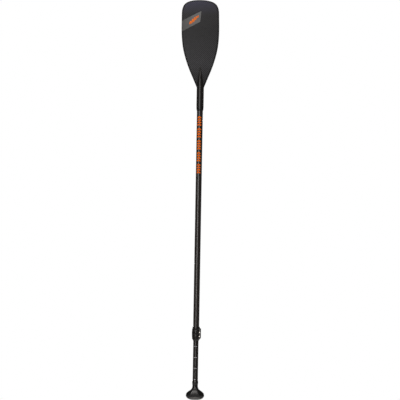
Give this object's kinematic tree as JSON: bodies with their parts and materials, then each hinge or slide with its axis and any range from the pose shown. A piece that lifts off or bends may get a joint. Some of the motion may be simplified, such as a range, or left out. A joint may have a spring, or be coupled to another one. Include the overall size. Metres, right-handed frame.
{
  "type": "adjustable single-blade paddle",
  "caption": "Long single-blade paddle with a raked dark blade, a round shaft, a cam-lever length clamp and a sliding, turning handle with a palm grip.",
  "frame": {"origin": "on the shaft's axis, halfway along its bare length between the blade's neck and the length clamp", "axes": "+Z along the shaft towards the blade's tip; -Y the side that the blade leans to, opposite its power face; +X across the blade, the side of the clamp's screws"},
  "size_m": [0.1888, 0.0992, 1.9985],
  "materials": {
    "blade_laminate": "satin dark laminate with a faint diagonal weave",
    "rail_black": "satin",
    "moulded_black": "satin",
    "foam": "closed-cell foam",
    "shaft_black": "satin wound laminate",
    "handle_black": "satin wound laminate with printed height marks",
    "nylon_black": "fine grain",
    "nylon_grey": "fine grain",
    "grip_plastic": "fine grain",
    "grip_rubber": "soft matt",
    "stainless": "brushed"
  },
  "bodies": {
    "shaft": {"blade_core": "foam", "blade_front_skin": "blade_laminate", "blade_back_skin": "blade_laminate", "blade_edge_rail": "rail_black", "blade_neck": "moulded_black", "shaft_tube": "shaft_black", "shaft_float_plug": "foam", "clamp_collar": "nylon_black", "mouth_bush": "nylon_black", "cam_wear_plate": "stainless"},
    "cross_pin": {"clamp_screws": "stainless", "screw_washers": "nylon_black", "cross_pin": "stainless"},
    "lever": {"clamp_lever": "nylon_black"},
    "guide": {"guide_bush": "nylon_grey"},
    "handle": {"handle_tube": "handle_black", "handle_end_plug": "nylon_grey", "bush_retainer": "stainless", "palm_grip_body": "grip_plastic", "palm_pad": "grip_rubber", "grip_ferrule": "nylon_black"}
  },
  "joints": [
    {"name": "screws_slacken", "type": "slide", "parent": "shaft", "child": "cross_pin", "axis": [0, -1, 0], "range_m": [0, 0.001]},
    {"name": "lever_open", "type": "hinge", "parent": "cross_pin", "child": "lever", "pos_m": [0.0188, 0.01492, -0.579], "axis": [0, 0, -1], "range_deg": [0, 120]},
    {"name": "handle_extend", "type": "slide", "parent": "shaft", "child": "guide", "axis": [0, 0, -1], "range_m": [-0.19, 0.2]},
    {"name": "handle_turn", "type": "hinge", "parent": "guide", "child": "handle", "pos_m": [0, 0, -0.28], "axis": [0, 0, 1], "continuous": true}
  ],
  "couplings": [
    {"joint": "screws_slacken", "follows": "lever_open", "m_per_rad": 0.00047746}
  ]
}
